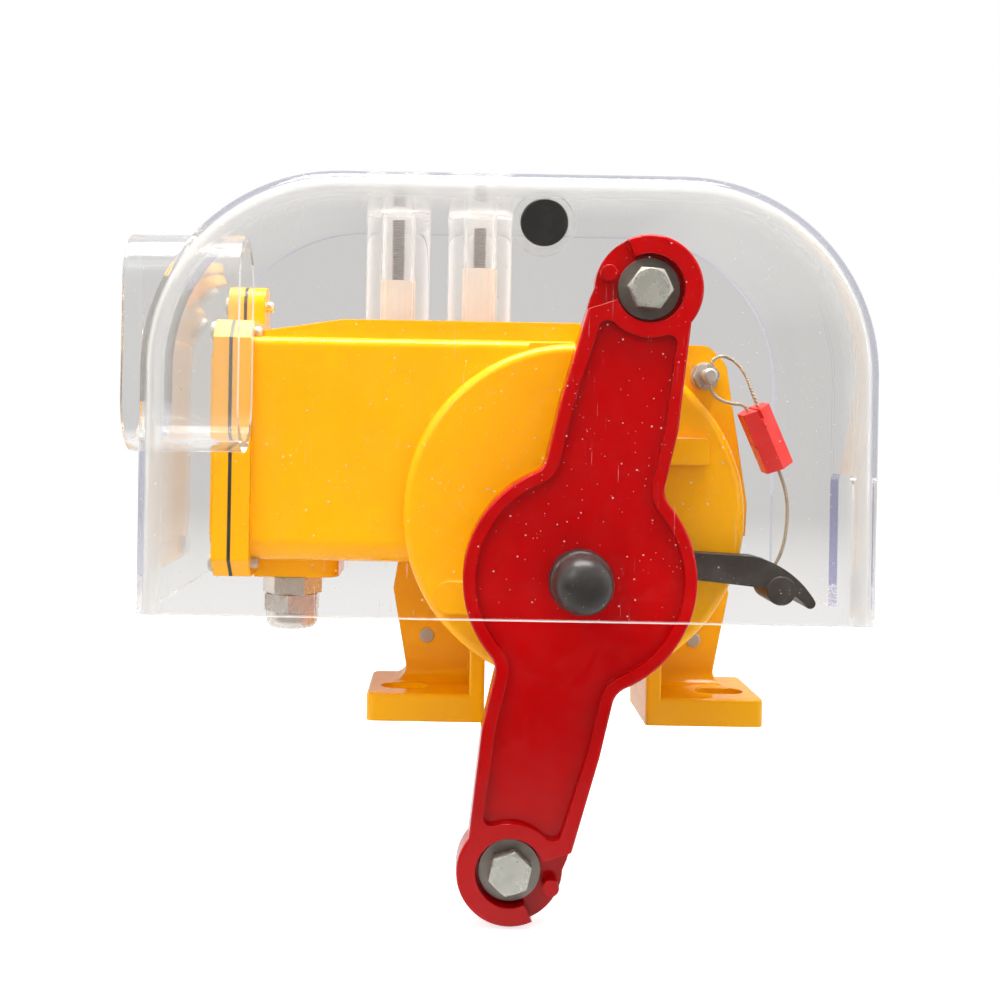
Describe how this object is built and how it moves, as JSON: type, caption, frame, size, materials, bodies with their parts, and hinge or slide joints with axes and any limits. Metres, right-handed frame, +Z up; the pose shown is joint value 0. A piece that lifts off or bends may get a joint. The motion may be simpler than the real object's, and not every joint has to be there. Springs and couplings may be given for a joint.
{
  "type": "rope pull switch",
  "caption": "Rope pull switch with a yellow cast housing, a red double lever for two pull ropes, a sealed reset handle and a clear plastic hood over its front.",
  "frame": {"origin": "On the mounting plane under the feet, midway between the two foot slots and below the main shaft's axis.", "axes": "+Z goes up from the mounting plane, +X to the right as seen from the lever, +Y from the lever through the housing to the rear cover."},
  "size_m": [0.296, 0.1713, 0.3031],
  "materials": {
    "yellow_paint": "glossy",
    "red_paint": "glossy",
    "clear_plastic": "clear",
    "black_plastic": "satin",
    "black_rubber": "satin",
    "white_nylon": "satin",
    "red_plastic": "glossy",
    "nickel": "bright",
    "steel": "satin",
    "bronze": "satin"
  },
  "bodies": {
    "housing": {"housing_casting": "yellow_paint", "end_cover": "yellow_paint", "end_cover_gasket": "black_rubber", "end_cover_screws": "steel", "rear_cover": "yellow_paint", "rear_cover_gasket": "black_rubber", "rear_cover_screws": "steel", "leg_pins": "steel", "gland_body": "nickel", "gland_washer": "black_rubber", "gland_nut": "nickel", "gland_insert": "black_rubber", "terminal_strip": "black_plastic", "terminal_screws": "steel", "front_bush": "bronze", "shaft_seal": "black_rubber", "rear_bush": "bronze", "reset_bush": "bronze", "microswitch_a_case": "black_plastic", "microswitch_b_case": "black_plastic", "microswitch_terminals": "bronze", "switch_insulator": "white_nylon", "switch_bracket": "steel", "switch_screws": "steel", "return_spring": "steel", "reset_spring": "steel", "seal_stud": "steel", "seal_nut": "steel", "seal_washer": "steel", "seal_body": "red_plastic", "seal_wire": "steel", "hood_shell": "clear_plastic", "hood_rope_sleeve": "clear_plastic", "hood_posts": "clear_plastic", "post_inserts": "white_nylon", "hood_plug": "black_rubber", "post_studs": "steel"},
    "lever": {"lever_arm": "red_paint", "main_shaft": "steel", "shaft_circlip": "steel", "lever_key": "steel", "cam_key": "steel", "cam_a": "white_nylon", "cam_b": "white_nylon", "shaft_spacers": "steel", "latch_disc": "steel", "spring_collar": "steel", "rope_clamp_bolts": "steel", "rope_clamp_washers": "steel", "rope_clamp_nuts": "steel", "hub_bolt": "steel", "hub_washer": "steel", "hub_cap": "black_rubber"},
    "reset": {"reset_handle": "black_plastic", "reset_grip_pin": "black_plastic", "reset_spindle": "steel", "reset_roll_pins": "steel", "reset_pawl": "steel"},
    "plunger_a": {"microswitch_a_plunger": "steel"},
    "plunger_b": {"microswitch_b_plunger": "steel"}
  },
  "joints": [
    {"name": "lever_turn", "type": "hinge", "parent": "housing", "child": "lever", "pos_m": [0, 0.007, 0.072], "axis": [0, -1, 0], "range_deg": [-27.5, 52.5], "stiffness_Nm_per_rad": 1.5},
    {"name": "reset_turn", "type": "hinge", "parent": "housing", "child": "reset", "pos_m": [0.03, 0.007, 0.079], "axis": [0, -1, 0], "range_deg": [-25, 0], "stiffness_Nm_per_rad": 0.5, "springref_deg": 8.59},
    {"name": "plunger_a_slide", "type": "slide", "parent": "housing", "child": "plunger_a", "axis": [0, 0, 1], "range_m": [-0.0014, 0.00265]},
    {"name": "plunger_b_slide", "type": "slide", "parent": "housing", "child": "plunger_b", "axis": [0, 0, 1], "range_m": [-0.00265, 0.0014]}
  ],
  "couplings": [
    {"joint": "plunger_a_slide", "follows": "lever_turn", "m_per_rad": 0.0028648},
    {"joint": "plunger_b_slide", "follows": "lever_turn", "m_per_rad": -0.0028648}
  ]
}
